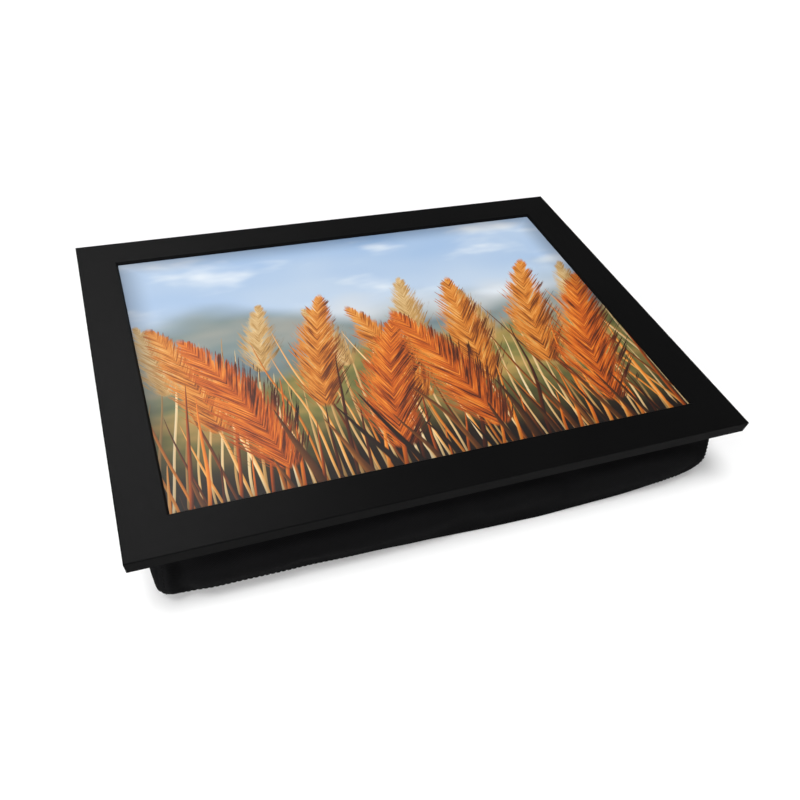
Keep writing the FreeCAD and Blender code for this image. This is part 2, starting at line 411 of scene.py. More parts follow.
# %% [markdown]
# ## Board and steel
# Behind the print is a plain brown fibreboard, held by flat steel points, and V-shaped nails pull
# the mitres together. They show only from below with the cushion off, yet each gets its own
# finish: short felted fibres on the board, and fine brushing on the rolled steel.

# %% Fibreboard and steel
fibre_depth = 0.12 * mm
fibre_browns = [(0.35, shade(104, 76, 50)), (0.65, shade(146, 112, 78)), (0.95, shade(172, 140, 102))]


def make_grained(name, stretch, fineness, dark, light, smooth, rough, **gloss):
    """A hard finish whose colour follows the grain's clouds and whose gloss follows its height."""
    material, bench, shader = new_material(name, **gloss)
    marks = bench.group(grain, Place=bench.place(), Stretch=stretch, Fineness=fineness)
    bench.fill(shader, Base_Color=bench.ramp(marks["Cloud"], [(0.3, dark), (0.7, light)]),
               Roughness=bench.spread(marks["Height"], 0.3, 1.0, smooth, rough))
    return material


material, bench, shader = new_material("raw_fibreboard", roughness=0.8, specular=0.3)
fibres = bench.group(grain, Place=bench.place(), Stretch=(1.0, 0.8, 1.0), Fineness=700.0)["Height"]
bench.fill(shader, Base_Color=bench.ramp(fibres, fibre_browns), Normal=bench.bump(fibres, fibre_depth))
dress(material, "tray_board")

rolled_steel = make_grained("rolled_steel", (1.0, 1.0, 0.08), 1500.0, shade(150, 150, 152),
                            shade(186, 186, 188), 0.28, 0.5, metallic=1.0)
dress(rolled_steel, "corner_v_nails", "retaining_points")
print("board and steel finished")

# %% [markdown]
# ## The print: plumes and blades of grass
# The panel carries a photographic print. Here it is a plain country picture: tall golden grasses
# in front of soft hills and a pale sky. An image file could be mapped on, but a picture made of
# nodes stays sharp at any size. Two groups draw it. The first draws one feathery plume: strands
# leave a bent stem at a slant, so the noise is sampled along that slant, and its outline is torn
# by the same noise. The second draws a row of blades: a column number picks each blade's height,
# lean and tone from White Noise, so no two are alike.

# %% Plume group
strand_slant = 1.7
strands_per_length, clumps_per_length = 46.0, 12.0

plume, bench, given, result = new_tree(
    "grass plume", "ShaderNodeTree", ["Mask", "Tone"], vectors=["Place", "Root"],
    values=["Lean", "Length", "Width", "Bend", "Softness", "Seed"])
offset = bench.vector("SUBTRACT", given["Place"], given["Root"])
turned = bench.out("ShaderNodeVectorRotate", {"rotation_type": "Z_AXIS"}, Vector=offset, Angle=given["Lean"])
x, y, _ = bench.split(turned)
along = y / given["Length"]
aside = x / given["Width"] - along * along * given["Bend"]
off_stem = abs(aside)

slant = y - off_stem * given["Width"] * strand_slant
strands = bench.noise(bench.join(slant * strands_per_length, aside * 1.6, given["Seed"]), 1.0, 4.0, 0.62)
clumps = bench.noise(bench.join(slant * clumps_per_length, aside * 1.2, given["Seed"]), 1.0, 2.0, 0.5)

inside = bench.smaller(bench.larger(along, 0.0), 1.0)
swell = bench.math("SINE", inside ** 0.72 * math.pi)
outline = bench.larger(swell, 0.0001) ** 0.7
torn = bench.swing(strands, 3.0) + bench.swing(clumps, 1.2)
reach = off_stem / bench.larger(outline, 0.03) + torn
within = bench.step(along, 0.0, 0.04) * bench.step(along, 1.0, 0.95)
fringe = bench.step(reach, given["Softness"] + 0.9, 0.75 - given["Softness"])
body = bench.swing(strands, 1.5) + bench.swing(clumps, 0.9)
lit = aside * -0.16 + along * 0.16
bench.fill(result, Mask=fringe * within, Tone=body + 0.42 + lit)
print("plume group:", len(plume.nodes), "nodes")

# %% Blade group
panel_foot = 1.27

blades, bench, given, result = new_tree(
    "grass blades", "ShaderNodeTree", ["Mask", "Tone"], vectors=["Place"],
    values=["Density", "Height", "Spread", "Lean", "Waver", "Blade Width", "Seed"])
x, y, _ = bench.split(given["Place"])
sway = bench.swing(bench.noise(bench.join(x * 0.7, y * 0.35, given["Seed"]), 1.0, 2.0), given["Waver"])
column = (x + sway - (y + panel_foot) * given["Lean"]) * given["Density"]
number = bench.join(bench.math("FLOOR", column), given["Seed"])
dice = bench.outs("ShaderNodeTexWhiteNoise", {"noise_dimensions": "2D"}, Vector=number)
height_dice, bend_dice, tone_dice = bench.split(dice["Color"])

below_tip = given["Height"] + bench.swing(height_dice, given["Spread"]) - y
curl = bench.swing(bend_dice, bench.step(below_tip, 0.9, 0.0))
aside = bench.math("FRACT", column) - (curl * 0.55 + 0.5)
taper = bench.smaller(bench.larger(below_tip * 1.6, 0.0001), 1.0)
blade_half = taper ** 0.6 * given["Blade Width"]
edge = abs(aside) / blade_half
fold = aside / blade_half * -0.18
bench.fill(result, Mask=bench.step(edge, 1.0, 0.55) * bench.step(below_tip, 0.0, 0.04),
           Tone=tone_dice * 0.75 + (fold + 0.12))
print("blade group:", len(blades.nodes), "nodes")

# %% [markdown]
# The picture is then laid down from back to front, as a painter would: sky, blurred hills and
# meadow, then pale distant grass, the plumes, and dark blades in front. Colour ramps turn each
# layer's tone into its own range. Lengths in the picture are in decimetres of the real panel.

# %% Sky, hills and meadow
decimetre = 10.0
sky_blues = [(0.25, shade(226, 222, 214)), (0.5, shade(188, 206, 226)), (0.85, shade(150, 182, 220))]
hill_greys = [(0.3, shade(96, 116, 128)), (0.5, shade(128, 142, 140)), (0.7, shade(158, 158, 150))]
meadow_greens = [(0.3, shade(84, 92, 52)), (0.5, shade(128, 122, 66)), (0.7, shade(186, 150, 84))]

print_material, bench, shader = new_material("printed_grasses", specular=0.3)
place = bench.vector("MULTIPLY", bench.place(), (decimetre, decimetre, 0.0))
x, y, _ = bench.split(place)


def blurred(stretch, scale, detail=2.0):
    return bench.noise(bench.vector("MULTIPLY", place, stretch), scale, detail)


haze = blurred((0.55, 0.9, 1.0), 1.3)
clouds = blurred((0.5, 1.2, 1.0), 2.2, 3.0)
sky = bench.ramp(y * 0.32 + haze * 0.75, sky_blues)
picture = bench.blend(bench.step(clouds, 0.5, 0.72), sky, shade(226, 234, 242))
hill_line = y + bench.swing(haze, -1.5)
hills = bench.ramp(blurred((0.8, 1.6, 1.0), 1.6), hill_greys)
picture = bench.blend(bench.step(hill_line, 0.5, 0.12), picture, hills)
meadow = bench.ramp(blurred((0.9, 2.2, 1.0), 2.0), meadow_greens)
picture = bench.blend(bench.step(hill_line, 0.02, -0.34), picture, meadow)
earth = bench.step(y + bench.swing(haze, 0.8), -0.45, -1.2)
picture = bench.blend(earth, picture, shade(30, 20, 14))
print("backdrop of the print:", len(print_material.node_tree.nodes), "nodes")

# %% Grasses
pale_straw = [(0.0, shade(120, 92, 52)), (0.4, shade(190, 146, 84)), (0.8, shade(228, 198, 144)),
              (1.0, shade(240, 222, 186))]
gold = [(0.0, shade(34, 18, 10)), (0.28, shade(120, 58, 18)), (0.5, shade(206, 118, 36)),
        (0.72, shade(226, 160, 76)), (0.95, shade(246, 218, 164))]
rust = [(0.0, shade(20, 11, 8)), (0.3, shade(88, 36, 12)), (0.52, shade(196, 88, 20)),
        (0.74, shade(232, 138, 44)), (1.0, shade(244, 196, 120))]
dusk = [(0.0, shade(10, 7, 6)), (0.45, shade(38, 22, 13)), (0.8, shade(104, 58, 24)),
        (1.0, shade(170, 104, 44))]

# each plume: root, lean in degrees, length, width, bend, seed
far_plumes = [((-1.62, -0.30), -4, 0.80, 0.13, -0.5, 11.0), ((-0.98, -0.22), 5, 0.78, 0.12, 0.6, 17.0),
              ((-0.40, -0.30), -6, 0.74, 0.12, -0.6, 19.0), ((0.18, -0.20), 4, 0.86, 0.13, 0.5, 23.0),
              ((0.72, -0.28), -3, 0.80, 0.13, -0.4, 29.0), ((1.55, -0.25), 6, 0.84, 0.13, 0.6, 31.0)]
middle_plumes = [((-1.36, -0.72), -7, 1.20, 0.18, -0.9, 37.0), ((-0.66, -0.66), 6, 1.26, 0.18, 0.9, 41.0),
                 ((0.02, -0.74), -5, 1.14, 0.18, -0.8, 43.0), ((1.02, -0.62), 8, 1.34, 0.20, 1.0, 47.0),
                 ((0.52, -0.70), 3, 1.28, 0.19, 0.5, 53.0)]
near_plumes = [((-1.02, -1.12), -9, 1.46, 0.24, -1.0, 59.0), ((-0.30, -1.14), 8, 1.36, 0.23, 0.9, 61.0),
               ((0.40, -1.12), -6, 1.40, 0.24, -0.7, 67.0), ((1.26, -1.10), 10, 1.58, 0.26, 1.0, 71.0)]

# each layer: colours, blades (density, height, spread, lean, waver, width, seed), plumes, softness
layers = [(pale_straw, (13.0, -0.10, 0.7, 0.06, 0.5, 0.13, 3.0), far_plumes, 0.25),
          (gold, (11.0, -0.20, 0.9, -0.12, 0.6, 0.13, 7.0), middle_plumes, 0.06),
          (rust, (9.0, -0.55, 0.9, 0.16, 0.6, 0.15, 5.0), near_plumes, 0.0),
          (dusk, (7.0, -0.85, 0.8, -0.2, 0.7, 0.22, 13.0), [], 0.0)]


def lay(picture, colours, grown):
    return bench.blend(grown["Mask"], picture, bench.ramp(grown["Tone"], colours))


def grow_blades(density, height, spread, lean, waver, width, seed):
    return bench.group(blades, Place=place, Density=density, Height=height, Spread=spread, Lean=lean,
                       Waver=waver, Blade_Width=width, Seed=seed)


def grow_plume(softness, root, lean, length, width, bend, seed):
    return bench.group(plume, Place=place, Root=(*root, 0.0), Lean=math.radians(lean), Length=length,
                       Width=width, Bend=bend, Softness=softness, Seed=seed)


for colours, blade_values, plumes, softness in layers:
    picture = lay(picture, colours, grow_blades(*blade_values))
    for plume_values in plumes:
        picture = lay(picture, colours, grow_plume(softness, *plume_values))
print("grasses laid in", len(layers), "layers")

# %% Painted shadow of the frame at the edge of the print, and its satin
sight_half = Vector((176.6, 126.6)) * mm
shadow_start, shadow_fade = -0.02, 0.20
painted_edge_shadow = (0.55, 0.55, 0.56, 1)
satin_depth = 0.006 * mm

from_side = sight_half.x * decimetre - abs(x)
from_end = sight_half.y * decimetre - abs(y)
# Painted shadow: near the sight edge the picture is multiplied by a grey, as if the frame shaded the print;
# inner is 0 at the edge and 1 further in.
inner = bench.step(bench.smaller(from_side, from_end), shadow_start, shadow_fade)
picture = bench.blend(inner, bench.blend(1.0, picture, painted_edge_shadow, "MULTIPLY"), picture)
satin = bench.noise(place, 60.0, 2.0)
bench.fill(shader, Base_Color=picture, Roughness=bench.spread(satin, 0.3, 0.7, 0.42, 0.52),
           Normal=bench.bump(satin, satin_depth))
dress(print_material, "print_sheet")

# %% [markdown]
# ## Cloth finishes
# The cover, the zip's tapes and the inner bag are all plain weave, one thread over and one under,
# only with finer or coarser threads. Two sine waves multiplied give that over and under pattern.
# It is a group, so each cloth sets its own threads and takes a height for the bump, a painted shade for
# the gaps between threads, and a slow cloud for lint and fading.

# %% Weave group
wander_scale, fuzz_scale, lint_scale = 220.0, 2600.0, 26.0
thread_wander = 0.7

weave, bench, given, result = new_tree("plain weave", "ShaderNodeTree", ["Height", "Shade", "Cloud"],
                                       vectors=["Place"], values=["Threads", "Fuzz"])
wander = bench.noise(given["Place"], wander_scale, 2.0) * thread_wander
x, y, _ = bench.split(given["Place"])
turns = given["Threads"] * math.pi
warp = bench.math("SINE", x * turns + wander)
weft = bench.math("SINE", y * turns + wander)
fuzz = bench.noise(given["Place"], fuzz_scale, 2.0, 0.7) * given["Fuzz"]
height = warp * weft * 0.5 + fuzz
# Shade is painted shade: it is low where the height sinks into the gaps between threads.
bench.fill(result, Height=height, Shade=bench.step(height, -0.5, 0.9),
           Cloud=bench.noise(given["Place"], lint_scale, 4.0, 0.65))
print("weave group:", len(weave.nodes), "nodes")

# %% Cloths
thread_fuzz = 0.4


def make_cloth(name, dark, light, threads, depth, place_of, sheen=0.0):
    material, bench, shader = new_material(name, roughness=0.95, specular=0.03)
    woven = bench.group(weave, Place=place_of(bench), Threads=threads, Fuzz=thread_fuzz)
    # The base colour mixes painted shade in the gaps between threads with a cloud of lint and fading.
    gap_shade_and_lint = woven["Shade"] * 0.7 + woven["Cloud"] * 0.3
    bench.fill(shader, Base_Color=bench.ramp(gap_shade_and_lint, [(0.2, dark), (0.8, light)]), Sheen_Weight=sheen,
               Sheen_Roughness=0.5, Normal=bench.bump(woven["Height"], depth))
    return material


def on_uv(bench):
    return bench.out("ShaderNodeUVMap", {"uv_map": "cloth"})


def on_back(bench):
    x, y, z = bench.split(bench.place())
    return bench.join(x, z, y)


cover_cloth = make_cloth("black_cover_cloth", shade(10, 10, 11), shade(25, 25, 26), 1500.0, 0.08 * mm,
                         on_uv, sheen=0.003)
bag_cloth = make_cloth("white_bag_cloth", shade(196, 195, 190), shade(236, 235, 230), 2200.0, 0.05 * mm,
                       on_uv)
tape_cloth = make_cloth("black_zip_tape", shade(16, 16, 17), shade(44, 44, 46), 1800.0, 0.06 * mm, on_back)
pile_cloth = make_cloth("black_patch_tape", shade(18, 18, 19), shade(46, 46, 48), 1300.0, 0.08 * mm,
                        Bench.place, sheen=0.2)
thread_cloth = make_cloth("black_thread", shade(12, 12, 13), shade(27, 27, 28), 4000.0, 0.03 * mm,
                          Bench.place, sheen=0.02)
dress(tape_cloth, "zip_tape_upper", "zip_tape_lower")
print("cloths:", ", ".join(m.name for m in (cover_cloth, bag_cloth, tape_cloth, pile_cloth, thread_cloth)))

# %% [markdown]
# ## The cushion
# The cover is a box of soft black cloth full of light beads. Its foot curves in to the floor, its
# shoulder curves in under the frame, and the sewn corners stand out as a pinched ridge. A sculpt
# would do, but a rule is easier to change: a lattice of quads over a box, with each side level
# given a height and an inset, keeps seams on rows and columns of points that can be found again.
# Columns lie closer together near the corners, where the cloth bends most.

# %% Lattice over a box
cover_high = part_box("cushion_cover")[1]
cushion_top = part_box("cushion_top_panel")[1].z
foot_inset, foot_height = 13 * mm, 20 * mm
shoulder_inset, shoulder_height = 4 * mm, 12 * mm
crowding = 0.3
columns, rows = 104, 80
edge_share = 0.999


def crowded(count):
    share = np.linspace(-1, 1, count + 1)
    return share * (1 + crowding - crowding * share ** 2)


def side_levels(foot_steps=7, band_steps=8, shoulder_steps=5):
    """Heights and insets of the rows of points, from the floor up."""
    foot = np.linspace(math.pi / 2, 0, foot_steps + 1)
    shoulder = np.linspace(0, math.pi / 2, shoulder_steps + 1)
    shoulder_foot = cushion_top - shoulder_height
    heights = np.concatenate([foot_height * (1 - np.sin(foot)),
                              np.linspace(foot_height, shoulder_foot, band_steps + 1)[1:-1],
                              shoulder_foot + shoulder_height * np.sin(shoulder)])
    insets = np.concatenate([foot_inset * (1 - np.cos(foot)), np.zeros(band_steps - 1),
                             shoulder_inset * (1 - np.cos(shoulder))])
    return heights, insets


def box_lattice(columns, rows, levels):
    """Keys of the points on a box's surface, its quads facing outwards, and each quad's side."""
    number, quads, sides = {}, [], []

    def add(side, *keys):
        quads.append([number.setdefault(key, len(number)) for key in keys])
        sides.append(side)

    for i in range(columns):
        for j in range(rows):
            add("flat", (i, j, 0), (i, j + 1, 0), (i + 1, j + 1, 0), (i + 1, j, 0))
            add("flat", (i, j, levels), (i + 1, j, levels), (i + 1, j + 1, levels), (i, j + 1, levels))
    for k in range(levels):
        for i in range(columns):
            add("long", (i, 0, k), (i + 1, 0, k), (i + 1, 0, k + 1), (i, 0, k + 1))
            add("long", (i, rows, k), (i, rows, k + 1), (i + 1, rows, k + 1), (i + 1, rows, k))
        for j in range(rows):
            add("short", (0, j, k), (0, j, k + 1), (0, j + 1, k + 1), (0, j + 1, k))
            add("short", (columns, j, k), (columns, j + 1, k), (columns, j + 1, k + 1), (columns, j, k + 1))
    return np.array(list(number)), quads, sides


heights, insets = side_levels()
top_level = len(heights) - 1
keys, quads, sides = box_lattice(columns, rows, top_level)
across, deep = crowded(columns)[keys[:, 0]], crowded(rows)[keys[:, 1]]
level = keys[:, 2]
ring_share = np.maximum(np.abs(across), np.abs(deep))
on_side = ring_share > edge_share
print("lattice:", len(keys), "points,", len(quads), "quads,", top_level + 1, "levels")

# %% [markdown]
# Each lattice point then goes to its place. On a level, the square of points is fitted to a
# rectangle with round corners. Loose beads never fill a bag evenly, so a short list for each side
# says how full its foot is along the way, and a full foot curves in less. The middle of the top
# rises slightly, as a filled cushion does between the tapes that hold it.

# %% Cushion form
half_width, half_depth = cover_high.x, cover_high.y
corner_radius, corner_spread = 9 * mm, -0.35
start_smaller, left_smaller = 1.5 * mm, 1.8 * mm
right_sag, sag_height = 4.0 * mm, 45 * mm
crown = 0.2 * mm
tiny = 1e-9
filled_front = [(-1, -0.74), (-0.975, -0.62), (-0.955, -0.49), (-0.92, -0.11), (-0.88, 0.12), (-0.5, 0.47),
                (0.0, 0.8), (0.32, 0.98), (0.7, 0.88), (0.86, 0.68), (0.95, 0.32), (1, -0.25)]
filled_back = [(-1, 0.2), (-0.5, 0.65), (0.1, 0.5), (0.55, 0.8), (1, 0.2)]
filled_left = [(-1, 0.95), (-0.85, 0.75), (0.0, 0.5), (0.6, 0.6), (1, 0.3)]
filled_right = [(-1, 0.15), (-0.85, 0.55), (-0.5, 0.75), (0.2, 0.45), (1, 0.5)]


def foot_insets(place_along, far_side, near_list, far_list):
    """Insets of all points towards one pair of sides, less where that side's foot is full."""
    near, far = [np.interp(place_along, *zip(*steps)) for steps in (near_list, far_list)]
    fullness = np.where(far_side, far, near)
    return insets[level] * np.where(heights[level] < foot_height, 1 - fullness, 1)


def form_points():
    inset_x = foot_insets(deep, across > 0, filled_left, filled_right)
    inset_y = foot_insets(across, deep > 0, filled_front, filled_back)
    sag = right_sag * np.sin(math.pi * np.clip(heights[level] / sag_height, 0, 1))
    half_x = half_width - inset_x - np.where(across < 0, left_smaller, start_smaller - sag)
    half_y = half_depth - start_smaller - inset_y
    size = np.stack([half_x * ring_share, half_y * ring_share], 1)
    square = np.stack([half_x * across, half_y * deep], 1)
    radius = (corner_radius + corner_spread * insets[level]) * ring_share
    core = np.clip(square, -(size - radius[:, None]), size - radius[:, None])
    out = square - core
    length = np.linalg.norm(out, axis=1)
    cornered = (np.abs(out) > tiny).all(axis=1)
    out[cornered] *= (radius / np.maximum(length, tiny))[cornered, None]
    height = heights[level].copy()
    height[level == top_level] += crown * np.clip(1 - ring_share[level == top_level] ** 4, 0, 1)
    return np.column_stack([core + out, height])


def lay_cloth(piece, points):
    """A UV map in metres that runs straight over each side of the box, for the weave."""
    layer = piece.data.uv_layers.new(name="cloth")
    pick = {"flat": (0, 1), "long": (0, 2), "short": (1, 2)}
    flat = [points[p][list(pick[side])] for quad, side in zip(quads, sides) for p in quad]
    layer.data.foreach_set("uv", np.array(flat, np.float32).ravel())


def read_each(values, name, count):
    flat = np.empty(count * 3, np.float32)
    values.foreach_get(name, flat)
    return flat.reshape(-1, 3).astype(float)


def read_points(mesh):
    return read_each(mesh.vertices, "co", len(mesh.vertices))


def read_normals(mesh):
    return read_each(mesh.vertex_normals, "vector", len(mesh.vertices))


def write_points(mesh, points):
    mesh.vertices.foreach_set("co", points.astype(np.float32).ravel())
    mesh.update()


cushion = make_mesh("cushion_body", form_points(), quads, cover_cloth)
rest = read_points(cushion.data)
lay_cloth(cushion, rest)
print("cushion form", np.ptp(rest, axis=0).round(4), "m")

# %% [markdown]
# The beads press the cloth outwards from inside. Blender's Cloth with pressure gives that swelling
# and the shallow folds of slack cloth, which are hard to draw by hand. The top panel under the
# tray, the middle of the base and the cloth round the zip are held, the rest is free, and no point
# may move further than a cap. Near the floor the cloth moves less, because the base lies still. A
# Smooth modifier after the Cloth takes the sharpness off the folds.

# %% Fill the cushion
zip_low, zip_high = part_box("zip_tape_lower")[0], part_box("zip_tape_upper")[1]
zip_margin, zip_depth = 6 * mm, 8 * mm
base_held = 0.96
calm_height, calm_share = 1.4 * foot_height, 0.15
back_face = cover_high.y


def round_zip(points, margin):
    """Which points lie within a margin of the zip's tapes, seen from behind."""
    return ((np.abs(points[:, 0]) < zip_high.x + margin) & (points[:, 2] > zip_low.z - margin)
            & (points[:, 2] < zip_high.z + margin))


by_zip = (rest[:, 1] > back_face - zip_depth) & round_zip(rest, zip_margin)
held = np.zeros(len(rest))
held[level == top_level] = 1
held[(level == 0) & (ring_share < base_held)] = 1
held[by_zip] = 1
flat_by_zip = rest.copy()
flat_by_zip[by_zip, 1] = back_face
write_points(cushion.data, flat_by_zip)


def fill_with_beads(piece, pressure=3.0, slack=0.02, cap=5 * mm, steps=20):
    before = read_points(piece.data)
    group = piece.vertex_groups.new(name="held")
    group.add(np.flatnonzero(held).tolist(), 1.0, "REPLACE")
    cloth = piece.modifiers.new("bead pressure", "CLOTH")
    cloth.settings.use_pressure = True
    cloth.settings.uniform_pressure_force = pressure
    cloth.settings.vertex_group_mass = group.name
    cloth.settings.shrink_min = -slack
    cloth.settings.effector_weights.gravity = 0
    cloth.collision_settings.use_collision = False
    soften = piece.modifiers.new("soften folds", "SMOOTH")
    soften.factor = 0.5
    soften.iterations = 10
    for number in range(1, steps + 1):
        scene.frame_set(number)
    after = read_points(piece.evaluated_get(bpy.context.evaluated_depsgraph_get()).data)
    piece.modifiers.remove(soften)
    piece.modifiers.remove(cloth)
    piece.vertex_groups.remove(group)
    scene.frame_set(1)
    move = after - before
    length = np.linalg.norm(move, axis=1)
    move *= np.minimum(1, cap / np.maximum(length, tiny))[:, None]
    rising = np.clip(before[:, 2] / calm_height, 0, 1)
    share = calm_share + (1 - calm_share) * rising ** 2 * (3 - 2 * rising)
    move *= (share * (1 - held))[:, None]
    write_points(piece.data, before + move)
    print("cloth moved", round(length.mean() / mm, 2), "mm on average,",
          round(length.max() / mm, 2), "mm at most")


fill_with_beads(cushion)

# %% [markdown]
# Where the round corner of the cover meets the front or back panel, the sewn cloth makes a small
# ridge with a hollow beside it, and that crease is what catches the light. The pressure can't know
# about stitching, so ridge and hollow are added afterwards, as a push along the surface's own
# normals. The beads lean to the left, so the creases are deeper there.

# %% Corner creases
ridge_height, ridge_width, ridge_spread = 1.3 * mm, 2.4 * mm, 1.5
hollow_depth, hollow_width, hollow_place = 2.2 * mm, 5 * mm, 7 * mm
ridge_fades = [6 * mm, 16 * mm, 42 * mm, cushion_top]
hollow_fades = [3 * mm, 14 * mm, 42 * mm, cushion_top]
fade_shares = [0, 1, 1, 0]
crease_left, crease_right = 1.4, 0.4


def crease_corners(piece):
    points, normals = read_points(piece.data), read_normals(piece.data)
    from_corner = np.maximum(half_width * (1 - np.abs(across)), half_depth * (1 - np.abs(deep)))
    beside = from_corner - (corner_radius + ridge_spread * insets[level])
    ridge = np.interp(points[:, 2], ridge_fades, fade_shares)
    hollow = np.interp(points[:, 2], hollow_fades, fade_shares)
    push = (ridge_height * ridge * np.exp(-(beside / ridge_width) ** 2)
            - hollow_depth * hollow * np.exp(-((beside - hollow_place) / hollow_width) ** 2))
    on_panel = on_side & (np.abs(deep) > edge_share)
    push *= np.where(across < 0, crease_left, crease_right) * on_panel
    write_points(piece.data, points + normals * push[:, None])
    print("creases at", int((np.abs(push) > 0.5 * mm).sum()), "points")


crease_corners(cushion)

# %% [markdown]
# ## Seams
# The top panel, the base and the four side panels are sewn together, so a narrow groove runs round
# the shoulder, round the foot and down each corner. The lattice knows those rows and columns, and
# the points on them are pulled in. At the back, the cloth drops behind the zip's tapes. A single
# Subdivision Surface then rounds everything off.

# %% Sew the cover
seam_depth = 0.5 * mm
tape_drop, tape_margin = 1.6 * mm, 1 * mm
foot_seam, stitch_row = 2, 3


def sew(piece):
    points, normals = read_points(piece.data), read_normals(piece.data)
    corner_column = (np.abs(across) > edge_share) & (np.abs(deep) > edge_share)
    seams = on_side & ((level == top_level) | (level == foot_seam) | corner_column)
    points[seams] -= normals[seams] * seam_depth
    behind_tape = by_zip & round_zip(points, tape_margin)
    points[behind_tape, 1] = back_face - tape_drop
    points[:, 2] = np.maximum(points[:, 2], 0)
    write_points(piece.data, points)
    print("sewn:", int(seams.sum()), "points on seams,", int(behind_tape.sum()), "behind the zip")


sew(cushion)
smooth = cushion.modifiers.new("smooth", "SUBSURF")
smooth.levels = 1
smooth.render_levels = 1
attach(cushion, "cushion")
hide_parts("cushion_cover", "cushion_top_panel")

# %% [markdown]
# ## The inner bag
# The beads sit in a plain white bag of their own, so that the cover can be washed. It has the
# cover's form, one cloth further in, and nobody sees it while the zip is closed. The cover's
# points, moved in along their normals, are enough, and the bag stands for the beads too.

# %% Bead bag
bag_gap = 2.4 * mm
bag_points = read_points(cushion.data) - read_normals(cushion.data) * bag_gap
bag = make_mesh("bead_bag_cloth", bag_points, quads, bag_cloth)
lay_cloth(bag, rest)
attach(bag, "cushion")
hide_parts("bead_bag", "bead_filling")
print("bag of", len(bag.data.polygons), "quads")

# %% [markdown]
# ## Stitches
# A row of stitches is one small shape repeated along a path, which is what Geometry Nodes are for.
# The tree turns the edges of a mesh into curves, sets points on them a stitch apart, puts a slim
# bead of thread on each point in line with the seam, and makes the result real. The paths are read
# from the finished cushion, so that the thread lies on the cloth.

# %% Stitch tree
def run_nodes(name, source, tree, **values):
    """Runs a Geometry Nodes tree on a source mesh and keeps the result as a plain piece."""
    modifier = source.modifiers.new(tree.name, "NODES")
    modifier.node_group = tree
    sockets = {item.name: item.identifier for item in tree.interface.items_tree if item.in_out == "INPUT"}
    for label, value in values.items():
        modifier[sockets[label.replace("_", " ")]] = value
    graph = bpy.context.evaluated_depsgraph_get()
    mesh = bpy.data.meshes.new_from_object(source.evaluated_get(graph), depsgraph=graph)
    source.modifiers.remove(modifier)
    bpy.data.objects.remove(source)
    mesh.name = name
    piece = bpy.data.objects.new(name, mesh)
    scene.collection.objects.link(piece)
    print(name + ":", len(mesh.polygons), "faces")
    return piece


def shape_tree(name, *values):
    return new_tree(name, "GeometryNodeTree", ["Geometry"], shapes=["Geometry"], values=values,
                    materials=["Material"])


def finish_tree(bench, given, result, shape):
    real = bench.out("GeometryNodeRealizeInstances", Geometry=shape)
    smooth = bench.out("GeometryNodeSetShadeSmooth", Geometry=real)
    dressed = bench.out("GeometryNodeSetMaterial", Geometry=smooth, Material=given["Material"])
    bench.fill(result, Geometry=dressed)


stitch_tree, bench, given, result = shape_tree("stitch run", "Pitch", "Stitch Length", "Thread")
paths = bench.out("GeometryNodeMeshToCurve", Mesh=given["Geometry"])
points = bench.outs("GeometryNodeCurveToPoints", {"mode": "LENGTH"}, Curve=paths, Length=given["Pitch"])
bead = bench.out("GeometryNodeMeshUVSphere", Segments=6, Rings=4, Radius=0.5)
size = bench.join(given["Thread"], given["Thread"], given["Stitch Length"])
stitch = bench.out("GeometryNodeTransform", Geometry=bead, Scale=size)
sewn = bench.out("GeometryNodeInstanceOnPoints", Points=points["Points"], Instance=stitch,
                 Rotation=points["Rotation"])
finish_tree(bench, given, result, sewn)
print("stitch tree:", len(stitch_tree.nodes), "nodes")

# %% Stitch the cushion
cushion_surface = BVHTree.FromObject(cushion, bpy.context.evaluated_depsgraph_get())
point_of = {tuple(key): number for number, key in enumerate(keys)}
sewn_points = read_points(cushion.data)
thread, thread_lift = 0.5 * mm, 0.3
seam_pitch, seam_stitch = 3.4 * mm, 2.6 * mm
stitch_inset = 3


def ring_keys(inner, k):
    """Lattice keys once round the cushion, inner points in from its edge, on level k."""
    near, far_i, far_j = inner, columns - inner, rows - inner
    front = [(i, near, k) for i in range(near, far_i)]
    right_side = [(far_i, j, k) for j in range(near, far_j)]
    back = [(i, far_j, k) for i in range(far_i, near, -1)]
    left_side = [(near, j, k) for j in range(far_j, near, -1)]
    return front + right_side + back + left_side


def run_on_cloth(run_keys):
    """The points of some lattice keys, laid on the rounded cushion."""
    laid = []
    for key in run_keys:
        place, normal, _, _ = cushion_surface.find_nearest(Vector(sewn_points[point_of[key]]))
        laid.append(place + normal * thread * thread_lift)
    return laid


def path_mesh(name, runs):
    """One mesh of bare edges; each run is a list of points and whether it closes."""
    points, edges = [], []
    for run, closed in runs:
        first = len(points)
        points += [tuple(p) for p in run]
        edges += [(n, n + 1) for n in range(first, len(points) - 1)]
        if closed:
            edges.append((len(points) - 1, first))
    mesh = bpy.data.meshes.new(name)
    mesh.from_pydata(points, edges, [])
    source = bpy.data.objects.new(name, mesh)
    scene.collection.objects.link(source)
    return source


runs = [(run_on_cloth(ring_keys(stitch_inset, top_level)), True),
        (run_on_cloth(ring_keys(0, stitch_row)), True)]
for i in (stitch_inset, columns - stitch_inset):
    for j in (0, rows):
        runs.append((run_on_cloth([(i, j, k) for k in range(foot_seam, top_level)]), False))
stitches = run_nodes("seam_stitches", path_mesh("seam_paths", runs), stitch_tree, Pitch=seam_pitch,
                     Stitch_Length=seam_stitch, Thread=thread, Material=thread_cloth)
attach(stitches, "cushion")

# %% [markdown]
# ## The zip
# At the back a coil zip closes the cover. The edges of the opening are folded into two plackets,
# sewn down on the tapes. A coil zip's teeth are slanted loops of plastic, alternating from the two
# tapes, so a Geometry Nodes tree sets two rows of small slanted bars, half a pitch apart.

